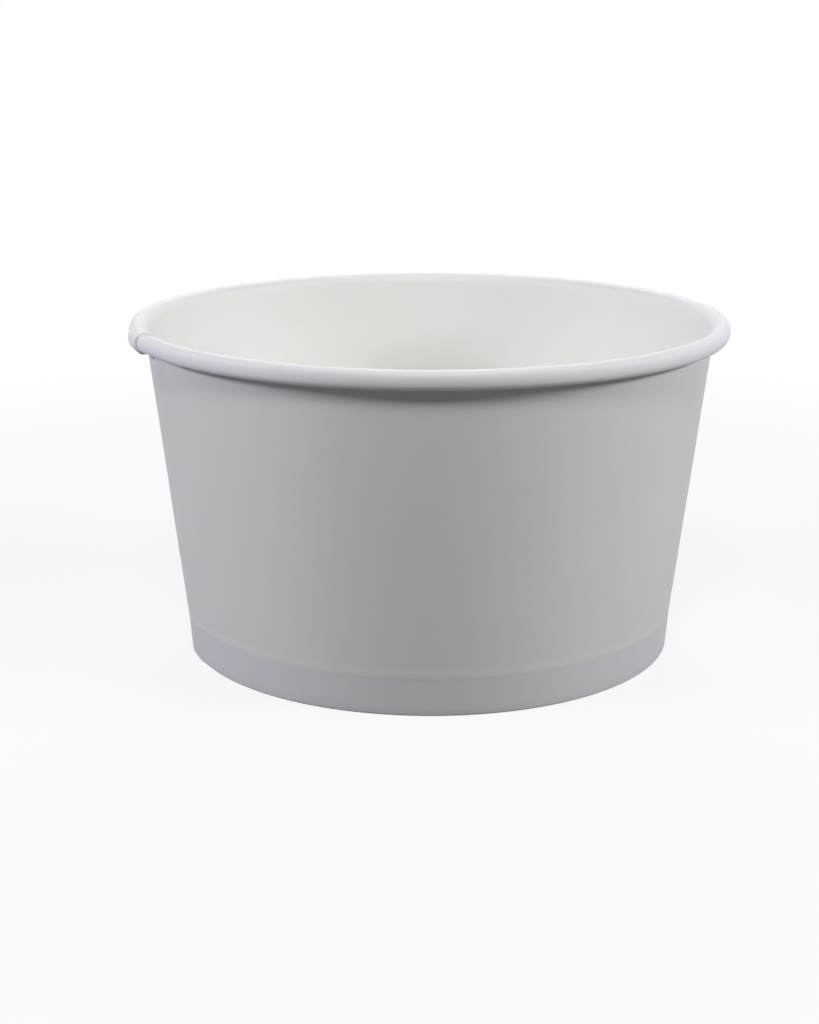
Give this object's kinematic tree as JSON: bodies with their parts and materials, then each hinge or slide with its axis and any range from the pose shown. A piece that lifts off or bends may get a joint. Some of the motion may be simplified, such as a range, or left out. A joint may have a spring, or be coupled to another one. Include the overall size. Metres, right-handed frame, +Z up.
{
  "type": "paper soup bowl",
  "caption": "Round tapered bowl of white coated paperboard with a rolled rim, a glued lap seam and a recessed bottom gripped in a folded foot.",
  "frame": {"origin": "on the table, at the middle of the foot", "axes": "+Z up along the bowl's axis; +Y away from the picture's camera; the lap seam's free edge on the rim is 201.5 degrees anticlockwise from +X"},
  "size_m": [0.142, 0.142, 0.0795],
  "materials": {
    "wall_board": "satin",
    "disc_board": "satin"
  },
  "bodies": {
    "root": {"side_wall": "wall_board", "bottom_disc": "disc_board"}
  },
  "joints": []
}
